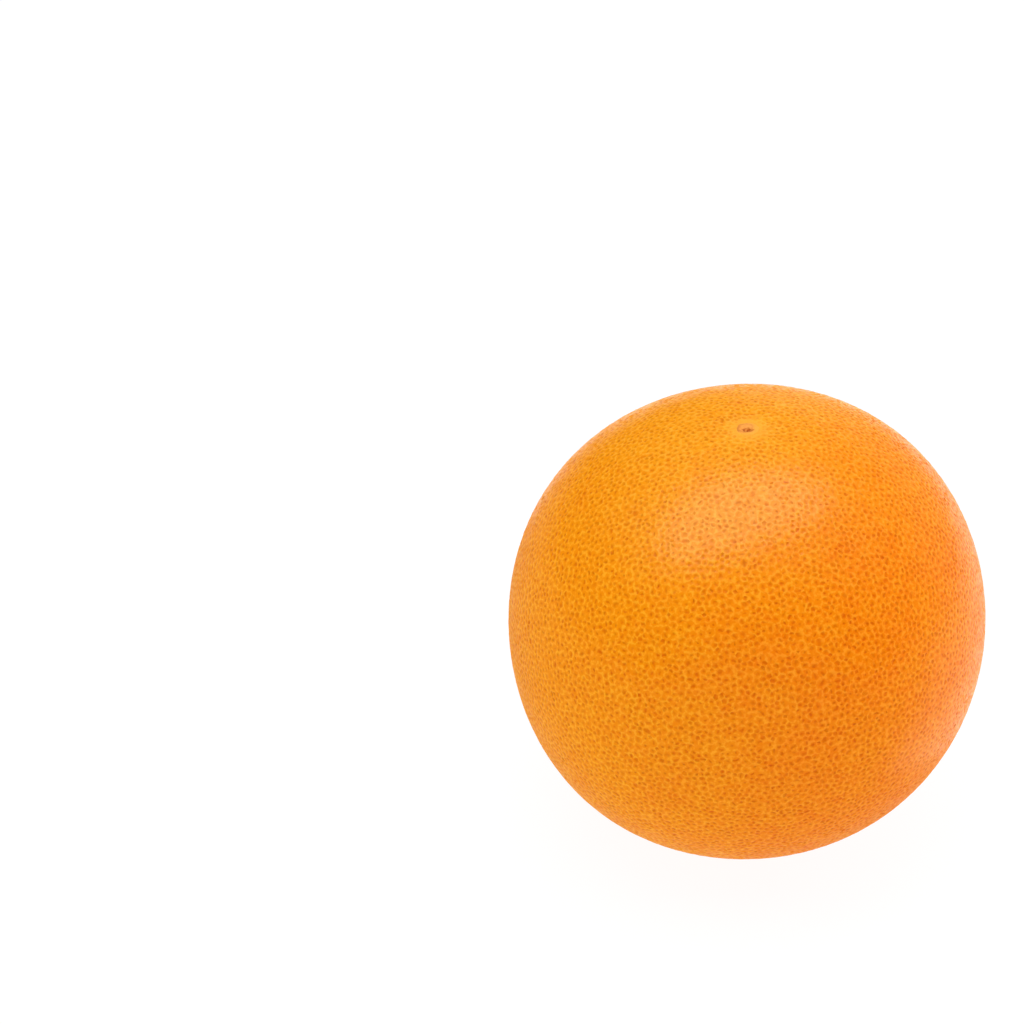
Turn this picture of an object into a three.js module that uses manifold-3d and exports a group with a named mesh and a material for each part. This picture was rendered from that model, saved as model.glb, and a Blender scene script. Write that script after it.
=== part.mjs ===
// A whole grapefruit in millimetres, +Z up, resting on the flat spot round its stem end.
// The fruit is one grown body: pitted peel, blossom-end scar on top, and below it the hollow
// that holds the dried calyx and the stub of the stem.

import * as THREE from "three";
import { mergeVertices } from "three/addons/utils/BufferGeometryUtils.js";
import Module from "manifold-3d";

const wasm = await Module();
wasm.setup();

// Driving dimensions.
const WIDTH = 100;
const SEAT_HEIGHT = 46.35;
const TOP_FLATTENING = 0.027;
const BASE_FLATTENING = 0.04;
const SHOULDER = 0.01;

// Broad, low swells of the peel: where each one points, and how far it stands out.
const SWELL_SPREAD = 0.16;
const SWELLS = [
  { towards: new THREE.Vector3(0.57, 0.52, 0.64), rise: 0.7 },
  { towards: new THREE.Vector3(-0.87, 0.31, 0.39), rise: 0.3 },
  { towards: new THREE.Vector3(-0.57, -0.52, -0.64), rise: 0.75 },
  { towards: new THREE.Vector3(0.77, -0.4, -0.5), rise: -0.3 },
];

// Oil-gland pits, larger than life: one lattice point in seven is a pit, and the frequency is a
// multiple of seven, so that the pattern closes on itself all round the fruit.
const POINTS_PER_PIT = 7;
const LATTICE_FREQUENCY = 3 * POINTS_PER_PIT;
const PIT_DEPTH = 0.8;
const PIT_DEPTH_SPREAD = 0.25;
const WANDER = 0.2;
const SMOOTH_TOP_RADIUS = 5;
const PITTED_TOP_RADIUS = 12;
const SMOOTH_BASE_RADIUS = 14;
const PITTED_BASE_RADIUS = 22;

// Blossom-end scar, a little off the vertical, in a shallow dimple.
const SCAR_LEAN = THREE.MathUtils.degToRad(2.3);
const SCAR_RADIUS = 2.5;
const SCAR_RISE = 0.35;
const SCAR_ROOT = 1.5;
const DIMPLE_RADIUS = 6;
const DIMPLE_DEPTH = 0.6;

// Stem end: a smooth hollow in the flat spot, with the calyx and the stem's stub in it.
const HOLLOW_RADIUS = 8;
const HOLLOW_DEPTH = 2.8;
const CALYX_RADIUS = 4.6;
const CALYX_LOBES = 5;
const CALYX_NOTCH = 0.16;
const CALYX_HEIGHT = 0.9;
const STUB_RADIUS = 1.7;
const STUB_HEIGHT = 0.3;
const STEM_ROOT = 4.5;

const BASE_RADIUS = WIDTH / 2 - 0.4;
const SCAR_DIRECTION = new THREE.Vector3(-Math.sin(SCAR_LEAN), 0, Math.cos(SCAR_LEAN));

// Peel without its pits: a slightly flattened ball with low swells and the scar's dimple.
function bodyRadius(direction) {
  const height = direction.z;
  const ring = Math.hypot(direction.x, direction.y);
  const flattening = height > 0 ? TOP_FLATTENING : BASE_FLATTENING;
  const profile = 1 + SHOULDER * (2 * height * ring) ** 2 - flattening * height ** 4;
  const swelling = SWELLS.reduce((sum, swell) => {
    const closeness = direction.dot(swell.towards.clone().normalize());
    return sum + swell.rise * Math.exp((closeness - 1) / SWELL_SPREAD);
  }, 0);
  const fromScar = direction.angleTo(SCAR_DIRECTION) * BASE_RADIUS;
  const dimple = DIMPLE_DEPTH * Math.exp(-((fromScar / DIMPLE_RADIUS) ** 2));
  return BASE_RADIUS * profile + swelling - dimple;
}

// Depth of a pit, which fades out towards the scar and towards the flat spot.
function pitDepth(direction, random) {
  const fromScar = direction.angleTo(SCAR_DIRECTION) * BASE_RADIUS;
  const fromStem = (Math.PI - direction.angleTo(new THREE.Vector3(0, 0, 1))) * BASE_RADIUS;
  const top = THREE.MathUtils.smoothstep(fromScar, SMOOTH_TOP_RADIUS, PITTED_TOP_RADIUS);
  const base = THREE.MathUtils.smoothstep(fromStem, SMOOTH_BASE_RADIUS, PITTED_BASE_RADIUS);
  return PIT_DEPTH * top * base * (1 + PIT_DEPTH_SPREAD * (2 * random - 1));
}

// Icosahedron whose faces are divided into a triangular lattice and pushed out to a unit ball.
// "pit" marks every seventh lattice point, so each pit has a ring of plain points of its own.
function latticeBall(frequency) {
  const corners = new THREE.IcosahedronGeometry(1, 0).getAttribute("position");
  const points = [];
  const pits = [];
  const [a, b, c] = [new THREE.Vector3(), new THREE.Vector3(), new THREE.Vector3()];
  const addPoint = (i, j) => {
    const k = frequency - i - j;
    const point = new THREE.Vector3();
    point.addScaledVector(a, i).addScaledVector(b, j).addScaledVector(c, k).normalize();
    points.push(point);
    pits.push((i - 2 * j) % POINTS_PER_PIT === 0 ? 1 : 0);
  };
  for (let corner = 0; corner < corners.count; corner += 3) {
    a.fromBufferAttribute(corners, corner);
    b.fromBufferAttribute(corners, corner + 1);
    c.fromBufferAttribute(corners, corner + 2);
    for (let i = 0; i < frequency; i += 1) {
      for (let j = 0; j < frequency - i; j += 1) {
        addPoint(i, j);
        addPoint(i + 1, j);
        addPoint(i, j + 1);
        if (i + j < frequency - 1) {
          addPoint(i + 1, j);
          addPoint(i + 1, j + 1);
          addPoint(i, j + 1);
        }
      }
    }
  }
  const ball = new THREE.BufferGeometry().setFromPoints(points);
  ball.setAttribute("pit", new THREE.Float32BufferAttribute(pits, 1));
  return mergeVertices(ball, 1e-5);
}

// Seeded random number in 0..1 for one lattice point and one purpose.
function draw(index, purpose) {
  return THREE.MathUtils.seededRandom(index * 7 + purpose + 1);
}

// Whole peel: each lattice point wanders a little, then takes the body's radius less its pit.
function peelGeometry() {
  const peel = latticeBall(LATTICE_FREQUENCY);
  const position = peel.getAttribute("position");
  const pit = peel.getAttribute("pit");
  const wander = (WANDER * Math.sqrt((4 * Math.PI) / position.count)) / 2;
  const direction = new THREE.Vector3();
  for (let index = 0; index < position.count; index += 1) {
    direction.fromBufferAttribute(position, index);
    direction.x += wander * (2 * draw(index, 0) - 1);
    direction.y += wander * (2 * draw(index, 1) - 1);
    direction.z += wander * (2 * draw(index, 2) - 1);
    direction.normalize();
    const depth = pit.getX(index) * pitDepth(direction, draw(index, 3));
    direction.multiplyScalar(bodyRadius(direction) - depth);
    position.setXYZ(index, direction.x, direction.y, direction.z);
  }
  peel.deleteAttribute("pit");
  return peel;
}

// Ring of pale corky tissue with a sunken middle, rooted in the peel at the top of the dimple.
function scarGeometry() {
  const profile = [
    new THREE.Vector2(0, -SCAR_ROOT),
    new THREE.Vector2(SCAR_RADIUS, -SCAR_ROOT),
    new THREE.Vector2(SCAR_RADIUS, -0.2),
    new THREE.Vector2(SCAR_RADIUS * 0.8, SCAR_RISE),
    new THREE.Vector2(SCAR_RADIUS * 0.5, SCAR_RISE * 0.9),
    new THREE.Vector2(SCAR_RADIUS * 0.3, 0.05),
    new THREE.Vector2(0, 0.15),
  ];
  const scar = new THREE.LatheGeometry(profile, 24);
  scar.rotateX(Math.PI / 2);
  scar.translate(0, 0, bodyRadius(SCAR_DIRECTION));
  scar.rotateY(-SCAR_LEAN);
  return scar;
}

// Bowl taken out of the flat spot; its side meets the flat without a crease.
function hollowGeometry() {
  const rings = 6;
  const profile = [new THREE.Vector2(0, -SEAT_HEIGHT + HOLLOW_DEPTH)];
  for (let ring = 1; ring <= rings; ring += 1) {
    const share = ring / rings;
    const height = HOLLOW_DEPTH * (1 - share ** 2) ** 2;
    profile.push(new THREE.Vector2(HOLLOW_RADIUS * share, -SEAT_HEIGHT + height));
  }
  profile.push(new THREE.Vector2(HOLLOW_RADIUS, -SEAT_HEIGHT - 2 * HOLLOW_DEPTH));
  profile.push(new THREE.Vector2(0, -SEAT_HEIGHT - 2 * HOLLOW_DEPTH));
  profile.reverse();
  const hollow = new THREE.LatheGeometry(profile, 36);
  hollow.rotateX(Math.PI / 2);
  return hollow;
}

// Five-lobed calyx, a low star whose root is sunk in the roof of the hollow.
function calyxGeometry() {
  const steps = 8 * CALYX_LOBES;
  const outline = Array.from({ length: steps }, (_, step) => {
    const turn = (2 * Math.PI * step) / steps;
    const radius = CALYX_RADIUS * (1 - CALYX_NOTCH * (1 + Math.cos(CALYX_LOBES * turn)) / 2);
    return new THREE.Vector2(radius * Math.cos(turn), radius * Math.sin(turn));
  });
  const star = new THREE.Shape(outline);
  const calyx = new THREE.ExtrudeGeometry(star, { depth: STEM_ROOT, bevelEnabled: false });
  calyx.translate(0, 0, -SEAT_HEIGHT + CALYX_HEIGHT);
  return calyx;
}

// Stub of the stem, standing out of the middle of the calyx and clear of the surface below.
function stubGeometry() {
  const stub = new THREE.CylinderGeometry(STUB_RADIUS * 1.15, STUB_RADIUS, STEM_ROOT, 20);
  stub.rotateX(Math.PI / 2);
  stub.translate(0, 0, -SEAT_HEIGHT + STUB_HEIGHT + STEM_ROOT / 2);
  return stub;
}

// Everything lower than the flat spot that the fruit rests on.
function belowSeatGeometry() {
  const block = new THREE.BoxGeometry(2 * WIDTH, 2 * WIDTH, WIDTH);
  block.translate(0, 0, -SEAT_HEIGHT - WIDTH / 2);
  return block;
}

// Closed three.js geometry as a manifold solid.
function toSolid(geometry) {
  geometry.deleteAttribute("normal");
  geometry.deleteAttribute("uv");
  const closed = mergeVertices(geometry, 1e-4);
  const vertProperties = Float32Array.from(closed.getAttribute("position").array);
  const triVerts = Uint32Array.from(closed.index.array);
  return new wasm.Manifold(new wasm.Mesh({ numProp: 3, vertProperties, triVerts }));
}

// Manifold solid back as a three.js geometry.
function toGeometry(solid) {
  const mesh = solid.getMesh();
  const geometry = new THREE.BufferGeometry();
  geometry.setAttribute("position", new THREE.BufferAttribute(mesh.vertProperties, 3));
  geometry.setIndex(new THREE.BufferAttribute(mesh.triVerts, 1));
  geometry.computeVertexNormals();
  return geometry;
}

function fruitGeometry() {
  const fruit = toSolid(peelGeometry())
    .subtract(toSolid(belowSeatGeometry()))
    .subtract(toSolid(hollowGeometry()))
    .add(toSolid(calyxGeometry()))
    .add(toSolid(stubGeometry()))
    .add(toSolid(scarGeometry()));
  return toGeometry(fruit);
}

const peelMaterial = new THREE.MeshStandardMaterial({
  color: 0xf08812,
  roughness: 0.45,
  metalness: 0,
});

const grapefruit = new THREE.Mesh(fruitGeometry(), peelMaterial);
grapefruit.name = "grapefruit";
grapefruit.position.set(0, 0, SEAT_HEIGHT);

const part = new THREE.Group();
part.add(grapefruit);

export default part;
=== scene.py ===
"""Looks of a whole grapefruit: pored peel, blossom-end scar, dried stem button, and a pale studio.

Run as a script. Lengths are metres, +Z is up, and the fruit rests on z = 0 on its stem end.
"""

import math

import bmesh
import bpy
import numpy as np
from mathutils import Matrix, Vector


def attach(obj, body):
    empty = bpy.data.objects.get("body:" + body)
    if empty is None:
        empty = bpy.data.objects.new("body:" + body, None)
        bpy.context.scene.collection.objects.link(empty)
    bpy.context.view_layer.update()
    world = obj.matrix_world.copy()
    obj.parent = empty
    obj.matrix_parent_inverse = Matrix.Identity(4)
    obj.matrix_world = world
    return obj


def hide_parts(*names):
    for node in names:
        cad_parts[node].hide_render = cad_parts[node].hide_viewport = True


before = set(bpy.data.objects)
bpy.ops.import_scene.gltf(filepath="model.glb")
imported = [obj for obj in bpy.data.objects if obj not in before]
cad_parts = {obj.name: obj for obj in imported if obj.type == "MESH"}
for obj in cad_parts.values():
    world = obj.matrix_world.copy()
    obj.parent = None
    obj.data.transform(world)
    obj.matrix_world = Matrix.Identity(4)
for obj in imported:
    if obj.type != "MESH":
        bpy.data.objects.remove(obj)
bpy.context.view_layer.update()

bl_info = {
    "name": "Grapefruit looks",
    "version": (1, 0, 0),
    "blender": (4, 5, 0),
    "location": "View3D > Sidebar > Grapefruit",
    "description": "Builds the peel, scar, stem button and studio of a whole grapefruit",
    "category": "Object",
}

NODE = "grapefruit"
BODY = "root"
FRAME_PIXELS = 1024
SENSOR_WIDTH = 36  # the camera's, in millimetres
MM = 0.001
SEED = 20
STEM_END = np.array([0, 0, -1.0])

# Low swells of the peel: direction from the fruit's middle, and rise in metres. A swell's height
# falls to 1/e of its rise where the cosine of the angle from it is 1 - spread.
SWELLS = (
    ((0.57, 0.52, 0.64), 0.7 * MM),
    ((-0.87, 0.31, 0.39), 0.3 * MM),
    ((-0.57, -0.52, -0.64), 0.75 * MM),
    ((0.77, -0.4, -0.5), -0.3 * MM),
)
SWELL_SPREAD = 0.16

# How the glands are spread: how often they are joined anew, the steps after each joining, and in
# each step the share of the way to the neighbours' mean and the share of what a short gap lacks.
JOININGS = 4
EASE_STEPS = 4
EASE_PULL = 0.15
EASE_PUSH = 0.4
NEAREST = 0.78  # the least gap asked for, as a share of the spacing
PINCH = 0.3  # how much closer the glands stand at each end of the fruit
PINCH_REACH = 9 * MM

# A pit's bottom: its reach as a share of the gland's size and of the room in the gland's cell.
BOTTOM_SHARE = 0.8
ROOM_SHARE = 0.75
RIDGE_ROUGHNESS = 0.03 * MM
SCAR_BED = 0.9 * MM  # how far the peel is sunk under the scar

# Middles of the scar's brown line and of its dark heart, in X and Y from the scar's own middle.
LINE_OFFSET = (-0.55 * MM, 0.25 * MM)
HEART_OFFSET = (-0.05 * MM, -0.5 * MM)
HEART_SIDES = (1.25 * MM, 0.85 * MM)  # the heart's half width and half height

# The place that the light panels are turned to, and the square ones that lie just over the floor.
LIGHT_AIM = (0, 0, 0.045)
LOW_GLEAM_SIDE = 0.34
LOW_GLEAM_HEIGHT = 2 * MM


# ---------------------------------------------------------------------------------------------
# Sizes and colours that a user would change


def length(name, description, default):
    """A property for a length in metres."""
    return bpy.props.FloatProperty(
        name=name, description=description, default=default, unit="LENGTH", precision=5
    )


def number(name, description, default, **kind):
    """A property for a number; kind is its unit or subtype, if it has one."""
    return bpy.props.FloatProperty(name=name, description=description, default=default, **kind)


def tally(name, description, default):
    """A property for a whole number."""
    return bpy.props.IntProperty(name=name, description=description, default=default, min=1)


def share(name, description, default):
    """A property for a share between nothing and everything."""
    return bpy.props.FloatProperty(
        name=name, description=description, default=default, min=0, max=1, subtype="FACTOR"
    )


def colour(name, description, default):
    """A property for a linear colour."""
    return bpy.props.FloatVectorProperty(
        name=name, description=description, default=default, size=3, min=0, max=1, subtype="COLOR"
    )


def angle(name, description, degrees):
    """A property for an angle, given here in degrees."""
    return bpy.props.FloatProperty(
        name=name, description=description, default=math.radians(degrees), subtype="ANGLE"
    )


class BodySettings(bpy.types.PropertyGroup):
    """Form of the whole fruit, shared by all of its pieces."""

    radius: length("Radius", "Radius of the ball that the fruit's form starts from", 49.6 * MM)
    seat: length("Seat", "Height of the ball's middle above the surface it rests on", 46.35 * MM)
    top_flat: share("Top flattening", "How much lower the blossom end is than the ball", 0.027)
    base_flat: share("Base flattening", "How much shorter the stem end is than the ball", 0.04)
    shoulder: share("Shoulder", "How full the fruit is between its middle and its ends", 0.01)
    dimple_radius: length("Dimple radius", "Radius of the dimple round the scar", 6 * MM)
    dimple_depth: length("Dimple depth", "Depth of the dimple round the scar", 0.6 * MM)
    scar_lean: angle("Scar lean", "Angle of the scar off the vertical, towards -X", 2.3)
    hollow_radius: length("Hollow radius", "Radius of the stem end's hollow", 8 * MM)
    hollow_depth: length("Hollow depth", "Depth of the stem end's hollow", 2.8 * MM)
    edge_round: length("Edge rounding", "Softness of the flat spot's outer edge", 0.25 * MM)


class PeelSettings(bpy.types.PropertyGroup):
    """Oil glands and colours of the peel."""

    glands: tally("Glands", "Number of oil glands before the closest are merged", 16400)
    wander: share("Wander", "How far a gland is thrown first, as a share of the spacing", 0.7)
    gland_radius: length("Gland radius", "Radius of an oil gland's dark dot", 0.34 * MM)
    gland_depth: length("Gland depth", "Depth of the pit over an oil gland", 0.095 * MM)
    # Crest: the palest colour, partly the net's own and partly painted highlight on the ridges.
    crest_and_ridge_light: colour("Crest", "The palest ridges of the net", (1.0, 0.395, 0.012))
    # Gold: round the scar the fruit's own colour; over the top partly painted overhead light.
    gold_and_top_light: colour("Gold", "The yellower ridges round the scar", (1.0, 0.48, 0.06))
    skin: colour("Skin", "The share of the ridges' colour left between them", (0.92, 0.7, 0.05))
    # Gland: its darker share is partly the gland's own colour and partly painted shade in the pit.
    gland: colour("Gland", "The share left at the bottom of a gland's pit", (0.8, 0.51, 0.2))
    oil: colour("Oil", "The share left in a pit that shows its oil", (0.76, 0.575, 0.2))
    blush: colour("Blush", "The share left in redder patches", (0.97, 0.72, 0.9))
    roughness: share("Roughness", "Roughness of the wax on the skin", 0.25)
    wax: share("Wax", "How much wax covers the skin between the glands", 0.19)


class ScarSettings(bpy.types.PropertyGroup):
    """Corky scar at the blossom end."""

    radius: length("Radius", "Radius of the scar's rim", 2.5 * MM)
    rise: length("Rise", "Height of the scar's rim over the dimple", 0.14 * MM)
    root: length("Root", "How deep the scar is set in the peel", 1.0 * MM)
    stroke_gap: length("Stroke gap", "Distance between the strokes of the heart", 0.82 * MM)
    cork: colour("Cork", "Pale corky tissue", (1.0, 0.39, 0.075))
    rim: colour("Rim", "Brown line round the scar", (0.7, 0.22, 0.03))
    edge: colour("Edge", "Skin that laps on to the scar", (0.98, 0.42, 0.05))
    heart: colour("Heart", "Dark middle where the style stood", (0.52, 0.105, 0.009))


class StemSettings(bpy.types.PropertyGroup):
    """Dried calyx and stub of the stem, in the hollow underneath."""

    radius: length("Radius", "Radius of the calyx at the tips of its lobes", 4.6 * MM)
    face: length("Face", "Height of the calyx's face above the surface below", 0.9 * MM)
    stub_radius: length("Stub radius", "Radius of the stem's stub", 1.7 * MM)
    stub_face: length("Stub face", "Height of the stub's end above the surface below", 0.3 * MM)
    notch: share("Notch", "How deep the calyx is cut between its lobes", 0.16)
    wrinkle: length("Wrinkle", "Height of the calyx's wrinkles", 0.11 * MM)
    lobes: tally("Lobes", "Lobes of the calyx", 5)
    calyx: colour("Calyx", "Dried green-brown calyx", (0.12, 0.105, 0.03))
    vein: colour("Vein", "Paler veins of the calyx", (0.33, 0.27, 0.1))
    tip: colour("Tip", "Brown tips of the calyx's lobes", (0.17, 0.085, 0.03))
    wood: colour("Wood", "Pale broken wood of the stub", (0.42, 0.3, 0.14))


class StageSettings(bpy.types.PropertyGroup):
    """Camera, lights and floor."""

    lens: number("Lens", "Focal length in millimetres", 95, unit="CAMERA")
    pitch: angle("Pitch", "How far the camera looks down", 34.5)
    distance: length("Distance", "From the camera to the fruit's middle", 0.5692)
    across: number("Across", "From the frame's left to the fruit's middle", 745.8, subtype="PIXEL")
    down: number("Down", "From the frame's top to the fruit's middle", 617.8, subtype="PIXEL")
    middle: length("Middle", "Height of the fruit's middle that the camera is set by", 47 * MM)
    floor: colour("Floor", "The matt floor's own colour", (0.07, 0.07, 0.07))
    floor_reach: length("Floor reach", "From the fruit to the floor's sides", 4.0)
    glow: number("Floor glow", "Brightness of the light that the floor gives off", 0.935)
    surround: number("Surround", "Brightness of the even light from all round", 0.42)


# ---------------------------------------------------------------------------------------------
# Form of the fruit


def unit(vectors):
    """Each row divided by its own length."""
    return vectors / np.linalg.norm(vectors, axis=-1, keepdims=True)


def smooth_step(value, low, high):
    """0 below low, 1 above high, and the cubic 3t^2 - 2t^3 between."""
    t = np.clip((value - low) / (high - low), 0, 1)
    return t * t * (3 - 2 * t)


def scar_direction(body):
    """Unit vector from the fruit's middle to the scar."""
    return np.array([-math.sin(body.scar_lean), 0, math.cos(body.scar_lean)])


def arc_from(directions, axis, body):
    """Distance over the peel from the place that axis points at: angle times radius."""
    return np.arccos(np.clip(directions @ axis, -1, 1)) * body.radius


def ball_radius(directions, body):
    """Radius of the peel in each direction.

    The ball's radius times 1 + shoulder (2 z ring)^2 - flattening z^4, plus each swell's rise
    times exp((cosine - 1) / spread), less the dimple's depth times exp(-(arc / its radius)^2).
    """
    height = directions[:, 2]
    ring = np.hypot(directions[:, 0], directions[:, 1])
    flattening = np.where(height > 0, body.top_flat, body.base_flat)
    profile = 1 + body.shoulder * (2 * height * ring) ** 2 - flattening * height**4
    towards = unit(np.array([direction for direction, _ in SWELLS]))
    rises = np.array([rise for _, rise in SWELLS])
    swelling = np.exp((directions @ towards.T - 1) / SWELL_SPREAD) @ rises
    from_scar = arc_from(directions, scar_direction(body), body)
    dimple = body.dimple_depth * np.exp(-((from_scar / body.dimple_radius) ** 2))
    return body.radius * profile + swelling - dimple


def seated(points, body):
    """Points raised to the flat spot and, within it, to the stem end's hollow.

    The hollow's roof stands depth (1 - (r / radius)^2)^2 over the flat, and the ball meets the
    flat by the smooth maximum (a + b + sqrt((a - b)^2 + round^2)) / 2.
    """
    ring = np.hypot(points[:, 0], points[:, 1])
    inside = np.clip(1 - (ring / body.hollow_radius) ** 2, 0, 1)
    roof = body.hollow_depth * inside**2
    height = points[:, 2] + body.seat
    gap = height - roof
    raised = (height + roof + np.sqrt(gap**2 + body.edge_round**2)) / 2
    lowest = np.where(points[:, 2] < 0, raised, height)
    return np.column_stack([points[:, 0], points[:, 1], lowest])


# ---------------------------------------------------------------------------------------------
# Lattice of oil glands


def joined(directions):
    """Triangles between neighbouring directions, turned outwards: their points' convex hull."""
    mesh = bpy.data.meshes.new("hull")
    mesh.from_pydata(directions.tolist(), [], [])
    hull = bmesh.new()
    hull.from_mesh(mesh)
    bmesh.ops.convex_hull(hull, input=hull.verts)
    hull.to_mesh(mesh)
    hull.free()
    corners = np.zeros(len(mesh.loops), dtype=np.int32)
    mesh.loops.foreach_get("vertex_index", corners)
    bpy.data.meshes.remove(mesh)
    return corners.reshape(-1, 3).astype(np.int64)


def eased(directions, triangles, nearest):
    """Directions moved apart, so that they are evenly spread but stay in no rows.

    Step by step each direction goes the pull's share of its way to the mean of its neighbours, and
    each edge of the triangles shorter than nearest pushes both its ends away by the push's share
    of what it lacks.
    """
    ends = np.concatenate([triangles[:, [0, 1]], triangles[:, [1, 2]], triangles[:, [2, 0]]])
    start, end = np.unique(np.sort(ends, axis=1), axis=0).T
    neighbours = np.bincount(np.concatenate([start, end]))[:, None]
    for _ in range(EASE_STEPS):
        gap = directions[end] - directions[start]
        span = np.linalg.norm(gap, axis=1, keepdims=True)
        push = gap / span * np.maximum(nearest - span, 0) * EASE_PUSH
        moved = directions.copy()
        np.add.at(moved, end, push - gap / neighbours[end] * EASE_PULL)
        np.add.at(moved, start, gap / neighbours[start] * EASE_PULL - push)
        directions = unit(moved)
    return directions


def scattered_glands(body, peel, draws):
    """Unit directions of the glands, and the triangles between neighbouring glands.

    They start on a spiral of golden-angle steps, a seeded draw throws each by up to wander times
    the spacing, and they are joined and eased apart a few times. Their way from each end of the
    fruit is then multiplied by 1 - pinch exp(-(arc / its reach)^2), which crowds them there.
    """
    spacing = math.sqrt(8 * math.pi / (math.sqrt(3) * peel.glands))
    step = np.arange(peel.glands)
    height = 1 - (2 * step + 1) / peel.glands
    turn = step * math.pi * (3 - math.sqrt(5))
    across = np.sqrt(1 - height * height)
    glands = np.column_stack([across * np.cos(turn), across * np.sin(turn), height])
    glands = unit(glands + draws.uniform(-1, 1, glands.shape) * peel.wander * spacing)
    for _ in range(JOININGS):
        kept, triangles = np.unique(joined(glands), return_inverse=True)
        glands = eased(glands[kept], triangles.reshape(-1, 3), NEAREST * spacing)
    triangles = joined(glands)
    for axis in (scar_direction(body), STEM_END):
        arc = arc_from(glands, axis, body)[:, None]
        squeeze = 1 - PINCH * np.exp(-((arc / PINCH_REACH) ** 2))
        sideways = glands - (glands @ axis)[:, None] * axis
        glands = unit((glands @ axis)[:, None] * axis + sideways * squeeze)
    return glands, triangles


def cell_sides(triangles, count):
    """The sides of the cells round the glands: each runs from one triangle's middle to the next.

    Returns every side's gland, its two triangles, and the side that follows it round the gland.
    Corner k of a triangle is followed, round its own gland, by the corner on the other side of the
    edge that leads back to the gland; sorting all edges by their two ends pairs them up.
    """
    gland = triangles.reshape(-1)
    leaving = gland * count + np.roll(triangles, -1, axis=1).reshape(-1)
    arriving = gland * count + np.roll(triangles, 1, axis=1).reshape(-1)
    order = np.argsort(leaving)
    following = order[np.searchsorted(leaving[order], arriving)]
    own = np.arange(len(gland)) // 3
    return gland, own, own[following], following


# ---------------------------------------------------------------------------------------------
# Meshes


def make_object(name, points, faces):
    """A smooth-shaded mesh of points and faces, riding on the fruit and standing for its node."""
    mesh = bpy.data.meshes.new(name)
    mesh.from_pydata(points.tolist(), [], faces)
    if mesh.validate():
        raise RuntimeError(f"{name}: the mesh had broken faces")
    mesh.polygons.foreach_set("use_smooth", np.ones(len(mesh.polygons), dtype=bool))
    mesh.update()
    piece = bpy.data.objects.new(name, mesh)
    bpy.context.scene.collection.objects.link(piece)
    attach(piece, BODY)
    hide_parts(NODE)
    return piece


def add_corner_vectors(mesh, name, vectors):
    """Stores one vector for every face corner under the given attribute name."""
    attribute = mesh.attributes.new(name, "FLOAT_VECTOR", "CORNER")
    attribute.data.foreach_set("vector", vectors.astype(np.float32).reshape(-1))


def tangents(directions):
    """Two unit vectors across each direction, square to it and to each other."""
    helper = np.where(np.abs(directions[:, 2:3]) < 0.9, [[0, 0, 1.0]], [[1.0, 0, 0]])
    east = unit(np.cross(helper, directions))
    return east, np.cross(directions, east)


def gland_strength(glands, body):
    """How marked each gland is, from 0 to 1.

    It grows from 0.15 at the scar to 1 beyond 6 mm from it, and that is multiplied by what grows
    from 0.35 at the stem end to 1 beyond 16 mm from it.
    """
    from_scar = arc_from(glands, scar_direction(body), body)
    from_stem = arc_from(glands, STEM_END, body)
    strength = 0.15 + 0.85 * smooth_step(from_scar, 2.2 * MM, 6 * MM)
    return strength * (0.35 + 0.65 * smooth_step(from_stem, 9 * MM, 16 * MM))


def pit_bottoms(glands, ridges, sides, reach, draws):
    """The four corners of each pit's bottom as directions, and their angles round the gland.

    They lie a quarter turn apart from a drawn start, at reach from the gland's middle, but no
    further than a share of the way to the nearest side of its cell, so that no wall folds over.
    """
    owner, first, second, _ = sides
    way = ridges[first] - glands[owner]
    side = ridges[second] - ridges[first]
    clear = np.linalg.norm(np.cross(way, side), axis=1) / np.linalg.norm(side, axis=1)
    room = np.full(len(glands), 1.0)
    np.minimum.at(room, owner, clear)
    reach = np.minimum(reach, ROOM_SHARE * room)
    start = draws.uniform(0, math.pi / 2, len(glands))
    angles = start[:, None] + np.arange(4) * math.pi / 2
    east, north = tangents(glands)
    cosines, sines = np.cos(angles)[..., None], np.sin(angles)[..., None]
    around = east[:, None] * cosines + north[:, None] * sines
    return unit(glands[:, None] + around * reach[:, None, None]).reshape(-1, 3), angles


def facing_corners(glands, ridges, sides, angles):
    """Which way the sides of each gland's cell look from its pit's bottom.

    Returns, for each side, on which of the bottom's four edges its first ridge point is the one
    that lies furthest out, and the bottom's corner that the side joins: a side joins the corner
    after such an edge, and every other side the corner that the side before it joins.
    """
    owner, first, _, following = sides
    way = ridges[first] - glands[owner]
    east, north = tangents(glands)
    x = np.einsum("sx,sx->s", way, east[owner])[:, None]
    y = np.einsum("sx,sx->s", way, north[owner])[:, None]
    aims = (angles + math.pi / 4)[owner]
    pull = x * np.cos(aims) + y * np.sin(aims)
    best = np.full((len(glands), 4), -1.0)
    np.maximum.at(best, owner, pull)
    furthest = pull == best[owner]
    last = furthest & ~np.roll(furthest, -1, axis=1)
    corner = np.where(furthest.any(axis=1), last.argmax(axis=1) + 1, -1)
    while (corner < 0).any():
        empty = corner[following] < 0
        corner[following[empty]] = corner[empty]
    return furthest, corner


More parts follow.
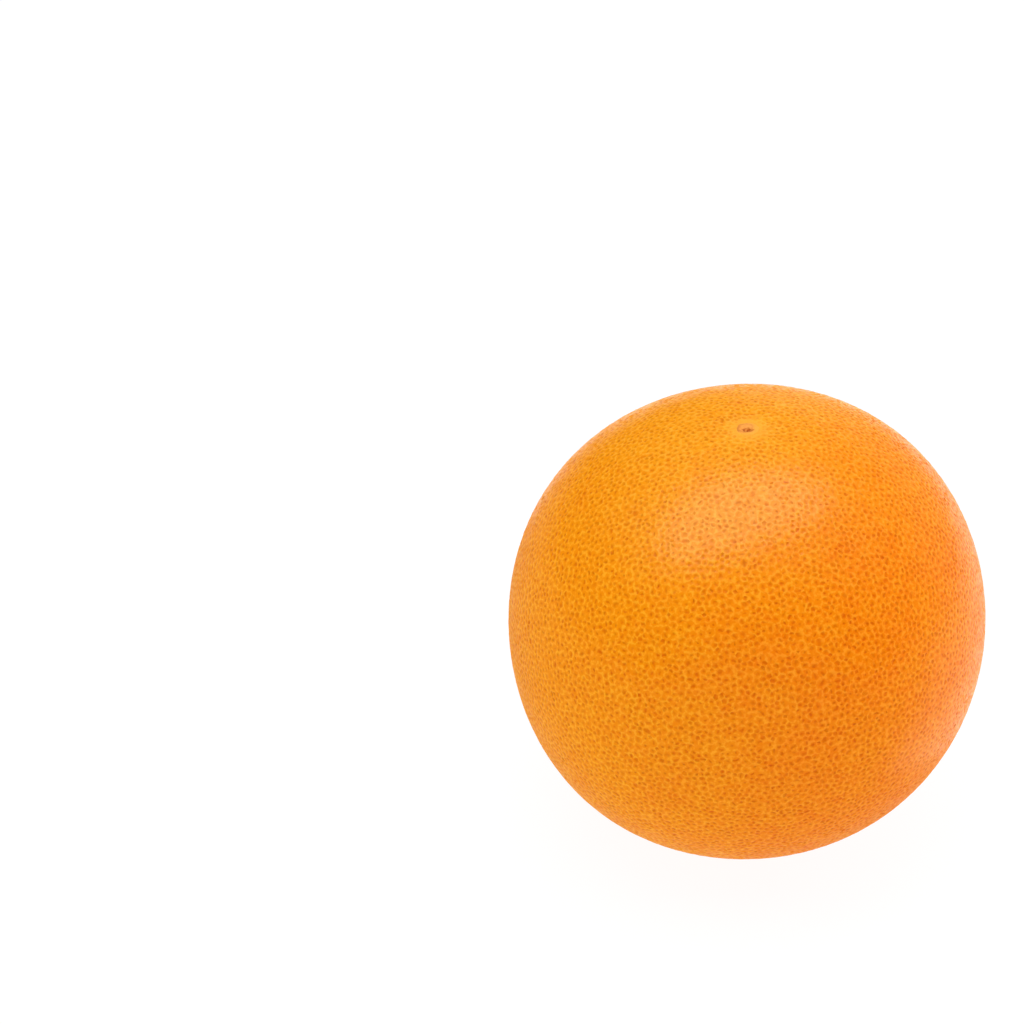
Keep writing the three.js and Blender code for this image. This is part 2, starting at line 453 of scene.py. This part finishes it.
def peel_faces(glands, ridges, sides, angles):
    """Triangles of the peel and the gland that each belongs to.

    The points are the ridges and then four corners for each gland. A triangle joins each side of
    a cell to a corner of the pit's bottom, one joins each edge of the bottom to the ridge point
    furthest out on it, and two close the bottom.
    """
    owner, first, second, _ = sides
    furthest, facing = facing_corners(glands, ridges, sides, angles)

    def bottom(gland, corner):
        """Number of the point at a corner of a gland's pit."""
        return len(ridges) + gland * 4 + corner % 4

    side, edge = np.nonzero(furthest)
    gland = owner[side]
    every = np.arange(len(glands))
    corners = [bottom(every, corner) for corner in range(4)]
    faces = [
        np.column_stack([bottom(owner, facing), first, second]),
        np.column_stack([bottom(gland, edge), first[side], bottom(gland, edge + 1)]),
        np.column_stack(corners[:3]),
        np.column_stack([corners[0], corners[2], corners[3]]),
    ]
    return np.concatenate(faces), np.concatenate([owner, gland, every, every])


def peel_points(ridges, bottoms, depth, rise, body):
    """Points of the peel: the ridges with their small rises, and the bottoms at their depths.

    Round the scar's middle they are sunk to the scar's bed.
    """
    ridge_points = ridges * (ball_radius(ridges, body) + rise)[:, None]
    bottom_points = bottoms * (ball_radius(bottoms, body) - np.repeat(depth, 4))[:, None]
    points = np.concatenate([ridge_points, bottom_points])
    from_scar = arc_from(unit(points), scar_direction(body), body)
    under = 1 - smooth_step(from_scar, 1.2 * MM, 2.3 * MM)
    return seated(points * (1 - under[:, None] * SCAR_BED / body.radius), body)


def build_peel(body, peel):
    """The peel as one closed surface, with its glands' attributes on its face corners.

    Each gland is a pit with a four-sided bottom of sunk points, and its walls rise to the ridge
    points where three glands meet. "gland_offset" is the way from the gland's middle to the corner
    along the surface, divided by the gland's own radius, and shortened along a drawn direction so
    that the dot is longer that way. "gland_mark" is the gland's strength, its drawn tone, and wall,
    which is 0 on a pit's bottom and 1 on the ridge round it.
    """
    draws = np.random.default_rng(SEED)
    glands, triangles = scattered_glands(body, peel, draws)
    count = len(glands)
    ridges = unit(glands[triangles].sum(axis=1))
    sides = cell_sides(triangles, count)
    strength = gland_strength(glands, body)
    depth = peel.gland_depth * strength * draws.uniform(0.6, 1.35, count)
    size = peel.gland_radius * draws.uniform(0.8, 1.2, count) * (0.65 + 0.35 * strength)
    bottoms, angles = pit_bottoms(glands, ridges, sides, BOTTOM_SHARE * size / body.radius, draws)
    rise = draws.uniform(-1, 1, len(ridges)) * RIDGE_ROUGHNESS
    points = peel_points(ridges, bottoms, depth, rise, body)
    faces, owner = peel_faces(glands, ridges, sides, angles)
    piece = make_object("peel", points, faces)

    turn = draws.uniform(0, math.pi, count)[:, None]
    east, north = tangents(glands)
    grain = (east * np.cos(turn) + north * np.sin(turn))[owner]
    across = np.cross(glands[owner], grain)
    shortening = 1 - draws.uniform(0.0, 0.5, count)
    middles = seated(glands * ball_radius(glands, body)[:, None], body)
    offset = (points[faces] - middles[owner][:, None]) / size[owner][:, None, None]
    along = np.einsum("fcx,fx->fc", offset, grain) * shortening[owner][:, None]
    aside = np.einsum("fcx,fx->fc", offset, across)
    offset = along[..., None] * grain[:, None] + aside[..., None] * across[:, None]
    add_corner_vectors(piece.data, "gland_offset", offset)

    tone = draws.uniform(0, 1, count)
    mark = np.zeros((*faces.shape, 3))
    mark[..., 0] = strength[owner][:, None]
    mark[..., 1] = tone[owner][:, None]
    mark[..., 2] = faces < len(ridges)
    add_corner_vectors(piece.data, "gland_mark", mark)
    return piece


def lathe_points(radii, heights, wave, steps):
    """A closed surface round +Z: each ring's radius is multiplied by wave, once for each step.

    The first and last points of the profile lie on the axis. Returns points, and quad faces with a
    fan of triangles at each end.
    """
    turn = np.linspace(0, 2 * math.pi, steps, endpoint=False)
    rings = radii[1:-1, None] * wave(turn[None], radii[1:-1, None])
    x, y = rings * np.cos(turn), rings * np.sin(turn)
    z = np.broadcast_to(heights[1:-1, None], x.shape)
    points = np.column_stack([x.ravel(), y.ravel(), z.ravel()])
    poles = np.array([[0, 0, heights[0]], [0, 0, heights[-1]]])
    here = np.arange(steps)
    there = (here + 1) % steps
    base = np.arange(len(rings) - 1)[:, None] * steps
    quads = np.stack(
        [base + here, base + there, base + steps + there, base + steps + here], axis=2
    ).reshape(-1, 4)
    first, last = len(points), len(points) + 1
    start = np.column_stack([np.full(steps, first), there, here])
    ends = (len(rings) - 1) * steps
    stop = np.column_stack([np.full(steps, last), ends + here, ends + there])
    faces = quads.tolist() + start.tolist() + stop.tolist()
    return np.concatenate([points, poles]), faces


def build_scar(body, scar):
    """The scar: a low corky disc with a rolled rim and a sunken heart, set in the dimple.

    A profile is carried round the scar's own axis. Its height at way_out, from 0 in the middle to
    1 at the rim, is the rise times 0.55 + 0.45 sin(1.3 pi (way_out - 0.3)). From that the heart
    takes 1.5 exp(-(way_out / 0.3)^2) of the rise, and the outer quarter falls by 1.4 of it. The rim
    wavers by 0.05 sin(3 turn) + 0.035 sin(5 turn) + 0.02 sin(9 turn), each from its own start, and
    the face has folds of 0.12 sin(5 turn + 4 way_out) sin(pi way_out) of the rise.
    """
    way_out = np.linspace(0, 1, 26)
    face = scar.rise * (0.55 + 0.45 * np.sin(math.pi * (way_out - 0.3) * 1.3))
    face -= 1.5 * scar.rise * np.exp(-((way_out / 0.3) ** 2))
    face -= 1.4 * scar.rise * smooth_step(way_out, 0.75, 1)
    radii = np.concatenate([scar.radius * way_out, [scar.radius * 0.9, 0]])
    heights = np.concatenate([face, [-scar.root, -scar.root]])

    def wave(turn, radius):
        """The rim's wavering, which fades towards the middle."""
        rough = 0.05 * np.sin(3 * turn + 0.6) + 0.035 * np.sin(5 * turn + 2)
        rough += 0.02 * np.sin(9 * turn)
        return 1 + rough * (radius / scar.radius)

    points, faces = lathe_points(radii[::-1], heights[::-1], wave, 96)
    turn = np.arctan2(points[:, 1], points[:, 0])
    ring = np.hypot(points[:, 0], points[:, 1]) / scar.radius
    folds = np.sin(5 * turn + 4 * ring) * np.sin(math.pi * np.clip(ring, 0, 1)) * 0.12
    points[:, 2] += np.where(points[:, 2] > -scar.root / 2, folds * scar.rise, 0)
    axis = scar_direction(body)
    east = unit(np.cross([[0, 1.0, 0]], axis[None]))[0]
    north = np.cross(axis, east)
    top = ball_radius(axis[None], body)[0]
    placed = points[:, 0:1] * east + points[:, 1:2] * north + (points[:, 2:3] + top) * axis
    placed[:, 2] += body.seat
    return make_object("blossom_scar", placed, faces)


def build_stem_button(body, stem):
    """The dried calyx with its lobes, and the broken stub of the stem in its middle.

    A profile runs from the stub's face over the calyx to its rim and back inside the peel. The
    rim's radius is multiplied by 1 - notch (1 + cos(lobes turn)) / 2, which fades towards the stub,
    and the calyx has wrinkles of wrinkle (cos(2 lobes turn) + 0.6 sin(17 turn + 5 r / radius)).
    """
    collar = 1.25 * stem.stub_radius
    lip = 0.35 * MM
    outline = [
        (0, stem.stub_face + 0.15 * MM),
        (0.45 * stem.stub_radius, stem.stub_face + 0.1 * MM),
        (0.9 * stem.stub_radius, stem.stub_face),
        (stem.stub_radius, stem.stub_face + 0.12 * MM),
        (1.02 * stem.stub_radius, stem.face - 0.2 * MM),
        (collar, stem.face - 0.05 * MM),
        (0.45 * (collar + stem.radius), stem.face + 0.12 * MM),
        (0.9 * stem.radius, stem.face - 0.06 * MM),
        (0.98 * stem.radius, stem.face + 0.02 * MM),
        (stem.radius, stem.face + lip / 2),
        (0.97 * stem.radius, stem.face + lip),
        (0.8 * stem.radius, stem.face + 2.2 * MM),
        (0, stem.face + 2.6 * MM),
    ]
    knots = np.array(outline)
    travel = np.concatenate([[0], np.cumsum(np.linalg.norm(np.diff(knots, axis=0), axis=1))])
    along = np.unique(np.concatenate([np.linspace(0, travel[-1], 60), travel]))
    radii = np.interp(along, travel, knots[:, 0])
    heights = np.interp(along, travel, knots[:, 1])

    def wave(turn, radius):
        """The lobes, and a roughness of the whole outline."""
        reach = smooth_step(radius, collar, 0.9 * stem.radius)
        cut = stem.notch * (1 + np.cos(stem.lobes * turn)) / 2
        rough = 0.02 * np.sin(7 * turn + 1) + 0.015 * np.sin(13 * turn)
        return 1 - reach * cut + rough

    points, faces = lathe_points(radii, heights, wave, 120)
    turn = np.arctan2(points[:, 1], points[:, 0])
    ring = np.hypot(points[:, 0], points[:, 1])
    wrinkles = np.cos(2 * stem.lobes * turn) + 0.6 * np.sin(17 * turn + 5 * ring / stem.radius)
    points[:, 2] += stem.wrinkle * wrinkles * smooth_step(ring, collar, 0.7 * stem.radius)
    return make_object("stem_button", points, faces)


# ---------------------------------------------------------------------------------------------
# Shader maths


class Value:
    """A shader socket that adds Math nodes when it is used in an expression."""

    def __init__(self, graph, socket):
        self.graph = graph
        self.socket = socket

    def __add__(self, other):
        return self.graph.math("ADD", self, other)

    def __sub__(self, other):
        return self.graph.math("SUBTRACT", self, other)

    def __rsub__(self, other):
        return self.graph.math("SUBTRACT", other, self)

    def __mul__(self, other):
        return self.graph.math("MULTIPLY", self, other)

    def __truediv__(self, other):
        return self.graph.math("DIVIDE", self, other)

    def __rtruediv__(self, other):
        return self.graph.math("DIVIDE", other, self)

    __radd__ = __add__
    __rmul__ = __mul__


class Graph:
    """The nodes of one material."""

    def __init__(self, name):
        self.material = bpy.data.materials.new(name)
        self.material.use_nodes = True
        self.tree = self.material.node_tree
        self.tree.nodes.clear()

    def feed(self, socket, value):
        """Links a value or an output to an input, or sets the input to a plain number or tuple."""
        if isinstance(value, Value):
            value = value.socket
        if isinstance(value, bpy.types.NodeSocket):
            self.tree.links.new(value, socket)
        else:
            socket.default_value = value

    def node(self, kind, settings=None, inputs=None):
        """A node of this kind, with its settings made first and then its inputs."""
        node = self.tree.nodes.new(kind)
        for name, value in (settings or {}).items():
            setattr(node, name, value)
        for name, value in (inputs or {}).items():
            self.feed(node.inputs[name], value)
        return node

    def math(self, operation, *values):
        """The number that a Math node makes of the values."""
        node = self.node("ShaderNodeMath", {"operation": operation}, dict(enumerate(values)))
        return Value(self, node.outputs[0])

    def between(self, value, low, high):
        """0 where value is low, 1 where it is high, and smooth between."""
        node = self.node(
            "ShaderNodeMapRange",
            {"interpolation_type": "SMOOTHSTEP"},
            {"Value": value, "From Min": low, "From Max": high},
        )
        return Value(self, node.outputs["Result"])

    def vector_math(self, operation, *values):
        """The vector that a Vector Math node makes of the values."""
        node = self.node("ShaderNodeVectorMath", {"operation": operation}, dict(enumerate(values)))
        return node.outputs["Vector"]

    def distance(self, vector, place=(0, 0, 0)):
        """Distance from a vector to a fixed place."""
        node = self.node(
            "ShaderNodeVectorMath", {"operation": "DISTANCE"}, {0: vector, 1: tuple(place)}
        )
        return Value(self, node.outputs["Value"])

    def noise(self, vector, scale, detail=2.0, roughness=0.5):
        """Noise from 0 to 1; scale is in waves a metre."""
        node = self.node(
            "ShaderNodeTexNoise",
            {"noise_dimensions": "3D"},
            {"Vector": vector, "Scale": scale, "Detail": detail, "Roughness": roughness},
        )
        return Value(self, node.outputs["Fac"])

    def noise_vector(self, vector, scale, detail=2.0):
        """Three noises from 0 to 1 as one vector; scale is in waves a metre."""
        node = self.node(
            "ShaderNodeTexNoise",
            {"noise_dimensions": "3D"},
            {"Vector": vector, "Scale": scale, "Detail": detail},
        )
        return node.outputs["Color"]

    def mix(self, factor, first, second, mode="MIX"):
        """The first colour with a share of the second mixed in, or multiplied in for MULTIPLY."""
        node = self.node(
            "ShaderNodeMix",
            {"data_type": "RGBA", "blend_type": mode},
            {0: factor, 6: opaque(first), 7: opaque(second)},
        )
        return node.outputs[2]

    def position(self):
        """The place on the fruit, in metres."""
        return self.node("ShaderNodeTexCoord").outputs["Object"]

    def attribute(self, name):
        """A vector that the mesh carries."""
        node = self.node(
            "ShaderNodeAttribute", {"attribute_type": "GEOMETRY", "attribute_name": name}
        )
        return node.outputs["Vector"]

    def parts(self, vector):
        """The three parts of a vector."""
        node = self.node("ShaderNodeSeparateXYZ", None, {0: vector})
        return [Value(self, output) for output in node.outputs]

    def bump(self, height, depth):
        """A normal bent by a height of 0 to 1 that stands for this depth in metres."""
        node = self.node(
            "ShaderNodeBump", None, {"Height": height, "Distance": depth, "Strength": 1.0}
        )
        return node.outputs["Normal"]

    def finish(self, inputs):
        """Ends the material in a Principled shader with these inputs."""
        shader = self.node("ShaderNodeBsdfPrincipled", None, inputs)
        self.node("ShaderNodeOutputMaterial", None, {"Surface": shader.outputs[0]})
        return self.material


def opaque(value):
    """A plain colour with its alpha; an output is left as it is."""
    if isinstance(value, (Value, bpy.types.NodeSocket)):
        return value
    return (*value, 1.0)


# ---------------------------------------------------------------------------------------------
# Finishes


def peel_finish(body, peel):
    """Waxy skin in three tones: a pale net of threads, a deeper one between them, and soft dots.

    The skin's tone, the dots and the redder patches are shares of colour that are left, so each
    multiplies what is under it. The dots lie over the oil glands, and a noise bends and frays
    them so that neighbours run together. The pale threads are partly painted highlight on the
    ridges, the dots partly painted shade in the pits, and the yellower crown partly painted light
    on the top. The wax is a thin coat over it all.
    """
    g = Graph("citrus peel")
    place = g.position()
    strength, tone, wall = g.parts(g.attribute("gland_mark"))
    from_scar = g.distance(place, scar_direction(body) * body.radius + (0, 0, body.seat))
    # The crown is yellower and its net less deep: partly the blossom end's own gold and partly
    # painted light on the top, where the overhead light falls.
    crown_and_top_light = 1 - g.between(from_scar, 8 * MM, 48 * MM)
    halo = 1 - g.between(from_scar, 2.5 * MM, 9 * MM)

    # Dots over the glands, bent, frayed and stronger in clusters. They are partly the glands'
    # own darker colour and partly painted shade in their pits.
    shaken = g.vector_math("SUBTRACT", g.noise_vector(place, 850, 1.0), (0.5, 0.5, 0.5))
    offset = g.attribute("gland_offset")
    away = g.distance(g.vector_math("MULTIPLY_ADD", shaken, (2.6, 2.6, 2.6), offset))
    cluster = 0.55 + g.between(g.noise(place, 450), 0.3, 0.7) * 0.5
    fray = (g.noise(place, 1500) - 0.5) * 1.1
    dark = 1 - g.between(away, 0.0, 1.8) + fray + tone * 0.4
    dot = g.between(dark, 0.3, 1.4) * strength * cluster * (1.28 - tone * 0.5)
    oily = g.between(g.noise(place, 400, 1.0), 0.35, 0.65)
    gland = g.mix(oily, peel.gland, peel.oil)

    # Threads of the net, which keep to the ridges between the pits. Their paler colour is partly
    # the net's own and partly painted highlight, where the ridges would catch the light from
    # overhead.
    threads = g.noise(place, 1500, 1.0) * 1.6 + wall * wall * 0.4
    net = g.between(threads, 0.8, 1.35)
    valley = 0.35 + (0.65 - net) * strength * (1 - crown_and_top_light * 0.3)

    # Redder patches, most on the fruit's +X cheek.
    x, y, _ = g.parts(place)
    cheek = g.between(x * 0.85 - y * 0.5, -0.3 * body.radius, 0.9 * body.radius)
    patches = g.between(g.noise(place, 60, 3.0, 0.6), 0.38, 0.68)
    spots = g.between(g.noise(place, 900), 0.58, 0.72)
    mottle = g.between(g.noise(place, 420), 0.4, 0.65)
    ruddy = cheek * 0.8 + patches * 0.25 + mottle * 0.25 + spots * 0.25 - 0.2

    # Gold towards the scar and the top, then the deeper skin between the threads, the dots and the
    # redder patches. The top's gold, the pale threads and the dots are partly painted light and
    # shade.
    base = g.mix(halo * 0.45 + crown_and_top_light * 0.48, peel.crest_and_ridge_light, peel.gold_and_top_light)
    base = g.mix(valley, base, peel.skin, "MULTIPLY")
    base = g.mix(dot, base, gland, "MULTIPLY")
    base = g.mix(ruddy, base, peel.blush, "MULTIPLY")
    relief = net * strength * 0.35 + g.noise(place, 3000) * 0.25 - dot
    return g.finish(
        {
            "Base Color": base,
            "Roughness": 0.45,
            "Normal": g.bump(relief, 0.12 * MM),
            "Specular IOR Level": 0.005,
            "IOR": 1.45,
            "Coat Weight": peel.wax * (1 - dot * 0.6) * (0.95 + net * 0.1),
            "Coat Roughness": peel.roughness,
            "Coat IOR": 1.45,
            "Subsurface Weight": 0.12,
            "Subsurface Radius": (1.0, 0.35, 0.08),
            "Subsurface Scale": 0.8 * MM,
        }
    )


def scar_finish(body, scar):
    """Pale cork with a brown line round it, which fades towards +X, and a dark ragged heart.

    The heart is an oval with a frayed edge, filled with strokes that lean over: a triangle wave of
    x - 0.4 y, bent by noise until the strokes run together.
    """
    g = Graph("scar cork")
    place = g.position()
    axis = scar_direction(body)
    middle = axis * ball_radius(axis[None], body)[0] + (0, 0, body.seat)
    from_line = g.distance(place, middle + (*LINE_OFFSET, 0)) / scar.radius
    ragged = from_line + (g.noise(place, 700, 3.0) - 0.5) * 0.6
    x, y, _ = g.parts(g.vector_math("SUBTRACT", place, tuple(middle)))

    lean = x - y * 0.4 + (g.noise(place, 600) - 0.5) * (1.6 * MM)
    half = scar.stroke_gap / 2
    stroke = g.math("PINGPONG", lean + 0.16 * MM, half) / half
    stroke = stroke + g.noise(place, 1800) - 0.5
    aside = (x - HEART_OFFSET[0]) / HEART_SIDES[0]
    above = (y - HEART_OFFSET[1]) / HEART_SIDES[1]
    spread = g.math("SQRT", aside * aside + above * above) + (g.noise(place, 1300) - 0.5) * 1.1
    heart = (1 - g.between(spread, 0.6, 1.1)) * (0.5 + g.between(stroke, 0.2, 0.7) * 0.5)

    line = g.between(ragged, 0.36, 0.6) * (1 - g.between(ragged, 0.62, 0.92))
    line = line * (1 - g.between(x, -1.6 * MM, 1.2 * MM) * 0.6)
    speckle = g.between(g.noise(place, 1500, 3.0), 0.35, 0.7)
    base = g.mix(speckle * 0.4, scar.cork, scar.rim)
    base = g.mix(line * 0.7, base, scar.rim)
    base = g.mix(g.between(ragged, 0.62, 0.95), base, scar.edge)
    base = g.mix(heart, base, scar.heart)
    normal = g.bump(g.noise(place, 1300, 4.0, 0.6) - heart, 0.25 * MM)
    return g.finish(
        {"Base Color": base, "Roughness": 0.6, "Normal": normal, "Specular IOR Level": 0.02}
    )


def stem_finish(stem):
    """Dried calyx and the pale splintered wood of the stub's end.

    The calyx has paler veins that run out from the stub, noise of the direction from the middle,
    over darker mottling, and it turns brown towards the tips of its lobes.
    """
    g = Graph("dried calyx")
    place = g.position()
    x, y, _ = g.parts(place)
    ring = g.math("SQRT", x * x + y * y)
    spoke = g.vector_math("NORMALIZE", g.vector_math("MULTIPLY", place, (1, 1, 0)))
    drift = g.vector_math("MULTIPLY_ADD", place, (90, 90, 90), spoke)
    veins = g.between(g.noise(drift, 6, 3.0, 0.6), 0.42, 0.62)
    mottle = g.between(g.noise(place, 700, 4.0, 0.6), 0.3, 0.7)
    ragged = ring + (g.noise(place, 500) - 0.5) * (2 * MM)
    tips = g.between(ragged, 0.72 * stem.radius, stem.radius)
    calyx = g.mix(mottle, stem.calyx, 0.5 * stem.calyx)
    calyx = g.mix(veins * 0.6, calyx, stem.vein)
    calyx = g.mix(tips * 0.8, calyx, stem.tip)
    grain = g.between(g.noise(place, 3000), 0.35, 0.65)
    wood_tone = g.mix(grain * 0.6, stem.wood, 0.5 * stem.wood)
    wood = 1 - g.between(ring, 0.75 * stem.stub_radius, 1.05 * stem.stub_radius)
    base = g.mix(wood, calyx, wood_tone)
    normal = g.bump(veins * 0.6 + g.noise(place, 1500, 4.0), 0.25 * MM)
    return g.finish(
        {"Base Color": base, "Roughness": 0.8, "Normal": normal, "Specular IOR Level": 0.2}
    )


def floor_finish(stage):
    """A matt floor that also gives off an even white light, as one that is lit from below."""
    return Graph("floor").finish(
        {
            "Base Color": opaque(stage.floor),
            "Roughness": 0.9,
            "Emission Color": (1, 1, 1, 1),
            "Emission Strength": stage.glow,
        }
    )


# ---------------------------------------------------------------------------------------------
# Stage


def build_floor(stage):
    """A pale floor that reaches far past the camera's view on every side."""
    reach = stage.floor_reach
    corners = [(-reach, -reach, 0), (reach, -reach, 0), (reach, reach, 0), (-reach, reach, 0)]
    mesh = bpy.data.meshes.new("floor")
    mesh.from_pydata(corners, [], [(0, 1, 2, 3)])
    mesh.materials.append(floor_finish(stage))
    floor = bpy.data.objects.new("floor", mesh)
    bpy.context.scene.collection.objects.link(floor)


def add_panel(
    name, place, size, radiance, mirrored=True, lighting=True, oval=False, aim=LIGHT_AIM
):
    """Adds a soft white panel at place, turned to aim; size is its two sides in metres.

    Its power is radiance times its area times pi. One that isn't mirrored only lights, and one that
    isn't lighting only shows as a gleam.
    """
    light = bpy.data.lights.new(name, "AREA")
    light.shape = "ELLIPSE" if oval else "RECTANGLE"
    light.size, light.size_y = size
    light.energy = radiance * size[0] * size[1] * math.pi
    lamp = bpy.data.objects.new(name, light)
    lamp.location = place
    lamp.rotation_euler = (Vector(aim) - Vector(place)).to_track_quat("-Z", "Y").to_euler()
    lamp.visible_glossy = mirrored
    lamp.visible_diffuse = lighting
    bpy.context.scene.collection.objects.link(lamp)


def add_low_gleam(name, x, y, radiance):
    """Adds a square panel just over the floor that faces up and only shows as a gleam."""
    sides = (LOW_GLEAM_SIDE, LOW_GLEAM_SIDE)
    add_panel(name, (x, y, LOW_GLEAM_HEIGHT), sides, radiance, lighting=False, aim=(x, y, 1))


def build_camera(stage):
    """The camera: its place follows from its pitch and from where the fruit shows in the frame."""
    camera = bpy.data.cameras.new("camera")
    camera.lens = stage.lens
    camera.sensor_width = SENSOR_WIDTH
    camera.clip_start = 0.01
    rig = bpy.data.objects.new("camera", camera)
    pixels = stage.lens / camera.sensor_width * FRAME_PIXELS
    right = (stage.across - FRAME_PIXELS / 2) / pixels
    below = (stage.down - FRAME_PIXELS / 2) / pixels
    forward = Vector((0, math.cos(stage.pitch), -math.sin(stage.pitch)))
    up = Vector((0, math.sin(stage.pitch), math.cos(stage.pitch)))
    sight = (forward + Vector((right, 0, 0)) - up * below).normalized()
    rig.location = Vector((0, 0, stage.middle)) - sight * stage.distance
    rig.rotation_euler = (math.pi / 2 - stage.pitch, 0, 0)
    bpy.context.scene.collection.objects.link(rig)
    bpy.context.scene.camera = rig


def build_lights(stage):
    """An even pale surround, and white panels on every side.

    A broad softbox overhead and the panels to the right, left and front only light the fruit. The
    one behind lights it and shows in the wax. An oval gleam overhead, tilted by its aim, and two
    low ones by the floor only show in the wax.
    """
    scene = bpy.context.scene
    world = bpy.data.worlds.new("surround")
    world.use_nodes = True
    background = world.node_tree.nodes["Background"]
    background.inputs["Color"].default_value = (1, 1, 1, 1)
    background.inputs["Strength"].default_value = stage.surround
    world.cycles_visibility.glossy = False
    scene.world = world
    scene.view_settings.view_transform = "Standard"
    add_panel("overhead softbox", (0, 0, 0.8), (2.0, 0.8), 1.3, mirrored=False)
    add_panel(
        "overhead gleam",
        (-0.06, 0.07, 0.8),
        (0.52, 1.1),
        5.8,
        lighting=False,
        oval=True,
        aim=(0.02, 0.11, 0.045),
    )
    add_panel("right panel", (1.1, 0.1, 0.45), (1.2, 1.0), 0.7, mirrored=False)
    add_panel("back panel", (1.1, 1.2, 0.4), (2.8, 0.9), 1.0)
    add_panel("left panel", (-1.1, 0.1, 0.45), (1.2, 1.0), 0.4, mirrored=False)
    add_low_gleam("side gleam", 0.23, 0.12, 2.1)
    add_low_gleam("back gleam", 0.07, 0.3, 2.2)
    add_panel("front fill", (0, -1.2, 0.25), (1.8, 0.7), 0.9, mirrored=False)


# ---------------------------------------------------------------------------------------------
# Operators, panel and registration


class GRAPEFRUIT_OT_peel(bpy.types.Operator):
    """Build the peel with its oil glands"""

    bl_idname = "grapefruit.peel"
    bl_label = "Peel"

    def execute(self, context):
        scene = context.scene
        piece = build_peel(scene.fruit_body, scene.fruit_peel)
        piece.data.materials.append(peel_finish(scene.fruit_body, scene.fruit_peel))
        return {"FINISHED"}


class GRAPEFRUIT_OT_scar(bpy.types.Operator):
    """Build the scar at the blossom end"""

    bl_idname = "grapefruit.scar"
    bl_label = "Blossom scar"

    def execute(self, context):
        scene = context.scene
        piece = build_scar(scene.fruit_body, scene.fruit_scar)
        piece.data.materials.append(scar_finish(scene.fruit_body, scene.fruit_scar))
        return {"FINISHED"}


class GRAPEFRUIT_OT_stem_button(bpy.types.Operator):
    """Build the dried calyx and stem stub in the hollow underneath"""

    bl_idname = "grapefruit.stem_button"
    bl_label = "Stem button"

    def execute(self, context):
        scene = context.scene
        piece = build_stem_button(scene.fruit_body, scene.fruit_stem)
        piece.data.materials.append(stem_finish(scene.fruit_stem))
        return {"FINISHED"}


class GRAPEFRUIT_OT_stage(bpy.types.Operator):
    """Build the floor, the lights and the camera"""

    bl_idname = "grapefruit.stage"
    bl_label = "Stage"

    def execute(self, context):
        stage = context.scene.fruit_stage
        build_floor(stage)
        build_lights(stage)
        build_camera(stage)
        return {"FINISHED"}


OPERATORS = (
    GRAPEFRUIT_OT_peel,
    GRAPEFRUIT_OT_scar,
    GRAPEFRUIT_OT_stem_button,
    GRAPEFRUIT_OT_stage,
)

SETTINGS = {
    "fruit_body": BodySettings,
    "fruit_peel": PeelSettings,
    "fruit_scar": ScarSettings,
    "fruit_stem": StemSettings,
    "fruit_stage": StageSettings,
}


class GRAPEFRUIT_PT_sidebar(bpy.types.Panel):
    """Lists the grapefruit's operators and settings"""

    bl_idname = "GRAPEFRUIT_PT_sidebar"
    bl_label = "Grapefruit"
    bl_space_type = "VIEW_3D"
    bl_region_type = "UI"
    bl_category = "Grapefruit"

    def draw(self, context):
        for operator in OPERATORS:
            self.layout.operator(operator.bl_idname)
        for name, group in SETTINGS.items():
            box = self.layout.box()
            box.label(text=group.__doc__)
            for setting in group.__annotations__:
                box.prop(getattr(context.scene, name), setting)


def register():
    """Registers the settings, the operators and the panel."""
    for name, group in SETTINGS.items():
        bpy.utils.register_class(group)
        setattr(bpy.types.Scene, name, bpy.props.PointerProperty(type=group))
    for operator in OPERATORS:
        bpy.utils.register_class(operator)
    bpy.utils.register_class(GRAPEFRUIT_PT_sidebar)


def unregister():
    """Takes back everything that register has added."""
    bpy.utils.unregister_class(GRAPEFRUIT_PT_sidebar)
    for operator in reversed(OPERATORS):
        bpy.utils.unregister_class(operator)
    for name, group in SETTINGS.items():
        delattr(bpy.types.Scene, name)
        bpy.utils.unregister_class(group)


def main():
    """Builds every piece and the stage."""
    register()
    bpy.ops.grapefruit.peel()
    bpy.ops.grapefruit.scar()
    bpy.ops.grapefruit.stem_button()
    bpy.ops.grapefruit.stage()


if __name__ == "__main__":
    main()
